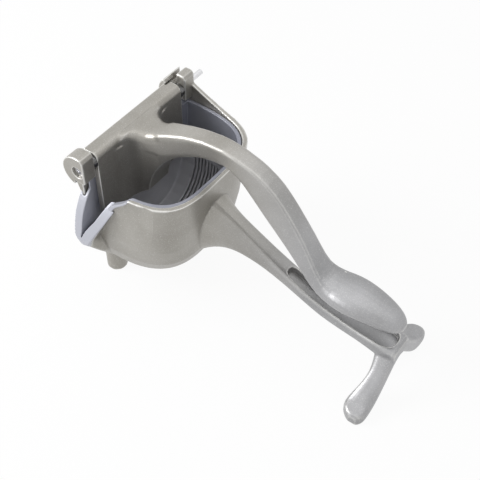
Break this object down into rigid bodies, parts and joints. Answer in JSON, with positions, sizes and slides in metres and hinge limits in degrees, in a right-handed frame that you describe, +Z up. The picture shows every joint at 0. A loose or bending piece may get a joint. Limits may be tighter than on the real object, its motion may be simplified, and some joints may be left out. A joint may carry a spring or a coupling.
{
  "type": "hinged lemon squeezer",
  "caption": "Hand-lever citrus squeezer: cast hopper with side spout and slotted insert, long arm with forked foot, hinged press with curved thumb handle.",
  "frame": {"origin": "on the table, under the middle of the squeezer's overall box", "axes": "+X from the hinge towards the foot and the thumb rest, +Y along the hinge axis away from the spout, +Z up"},
  "size_m": [0.2224, 0.131, 0.1348],
  "materials": {
    "cast_aluminium": "satin, with fine metallic sparkle",
    "insert_plastic": "satin blue-grey",
    "pin_steel": "turned"
  },
  "bodies": {
    "base": {"lower_body": "cast_aluminium", "strainer_insert": "insert_plastic", "hinge_pin": "pin_steel", "washer_left": "pin_steel", "spacer_ring": "pin_steel"},
    "press": {"upper_press": "cast_aluminium"}
  },
  "joints": [
    {"name": "press_hinge", "type": "hinge", "parent": "base", "child": "press", "pos_m": [-0.09925, -0.004, 0.112], "axis": [0, -1, 0], "range_deg": [0, 120]}
  ]
}
